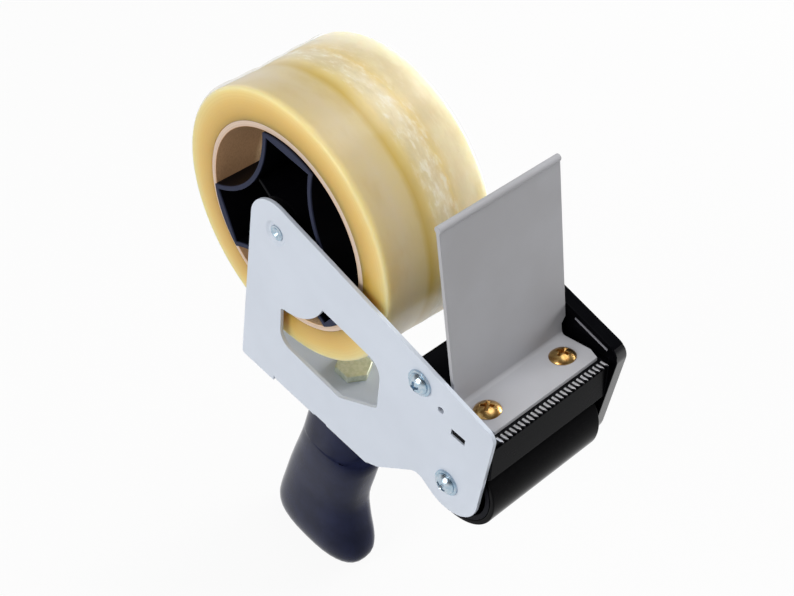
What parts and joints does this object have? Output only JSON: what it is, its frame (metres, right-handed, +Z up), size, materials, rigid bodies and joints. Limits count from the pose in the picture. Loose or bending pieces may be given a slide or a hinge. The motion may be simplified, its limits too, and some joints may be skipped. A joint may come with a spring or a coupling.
{
  "type": "packing tape dispenser",
  "caption": "Hand-held packing tape dispenser: tape roll on a three-lobed hub, steel side plate, press roller, toothed cutter under a tall press plate, and a pistol grip.",
  "frame": {"origin": "middle of the box in X and Y, at the flat end of the grip in Z", "axes": "+X forward to the cutter, +Y from the side plate to the free side, +Z up along the height"},
  "size_m": [0.163, 0.0696, 0.2497],
  "materials": {
    "side_plate": "light grey powder coat, satin",
    "hub_axle": "turned steel, bright zinc",
    "tape_hub": "black moulded plastic",
    "tape_core": "wound cardboard tube",
    "tape_roll": "wound amber packing tape, glossy",
    "brake_washer": "zinc plated",
    "brake_spring": "drawn spring wire",
    "spring_seat": "zinc plated",
    "tension_knob": "black moulded plastic",
    "head_housing": "black moulded plastic, fine grain",
    "cutter_blade": "hardened strip, bright tooth points",
    "press_plate": "grey satin coat on sheet steel",
    "press_screws": "yellow passivated, domed head",
    "press_nuts": "zinc plated",
    "roller_core": "black moulded plastic",
    "roller_sleeve": "ground black rubber, slight sheen",
    "roller_axle": "turned steel",
    "roller_spacers": "zinc plated",
    "frame_screws": "zinc plated, blue passivated",
    "screw_washers": "zinc plated",
    "handle": "bluish black moulded grip, soft sheen",
    "handle_insert": "turned, knurled outside",
    "handle_bolt": "zinc plated hex bolt"
  },
  "bodies": {
    "frame": {"side_plate": "side_plate", "hub_axle": "hub_axle", "brake_washer": "brake_washer", "brake_spring": "brake_spring", "head_housing": "head_housing", "cutter_blade": "cutter_blade", "press_plate": "press_plate", "press_screws": "press_screws", "press_nuts": "press_nuts", "roller_axle": "roller_axle", "roller_spacers": "roller_spacers", "frame_screws": "frame_screws", "screw_washers": "screw_washers", "handle": "handle", "handle_insert": "handle_insert", "handle_bolt": "handle_bolt"},
    "roll": {"tape_hub": "tape_hub", "tape_core": "tape_core", "tape_roll": "tape_roll"},
    "roller": {"roller_core": "roller_core", "roller_sleeve": "roller_sleeve"},
    "brake_seat": {"spring_seat": "spring_seat"},
    "knob": {"tension_knob": "tension_knob"}
  },
  "joints": [
    {"name": "roll_spin", "type": "hinge", "parent": "frame", "child": "roll", "pos_m": [-0.029, 0, 0.1964], "axis": [0, 1, 0], "continuous": true},
    {"name": "roller_spin", "type": "hinge", "parent": "frame", "child": "roller", "pos_m": [0.0625, 0, 0.1492], "axis": [0, 1, 0], "continuous": true},
    {"name": "brake_travel", "type": "slide", "parent": "frame", "child": "brake_seat", "axis": [0, 1, 0], "range_m": [-0.0025, 0.0025], "deforming": ["brake_spring"]},
    {"name": "knob_turn", "type": "hinge", "parent": "brake_seat", "child": "knob", "pos_m": [-0.029, 0, 0.1964], "axis": [0, 1, 0], "range_deg": [-720, 720]}
  ],
  "couplings": [
    {"joint": "knob_turn", "follows": "brake_travel", "rad_per_m": 5026.5}
  ]
}
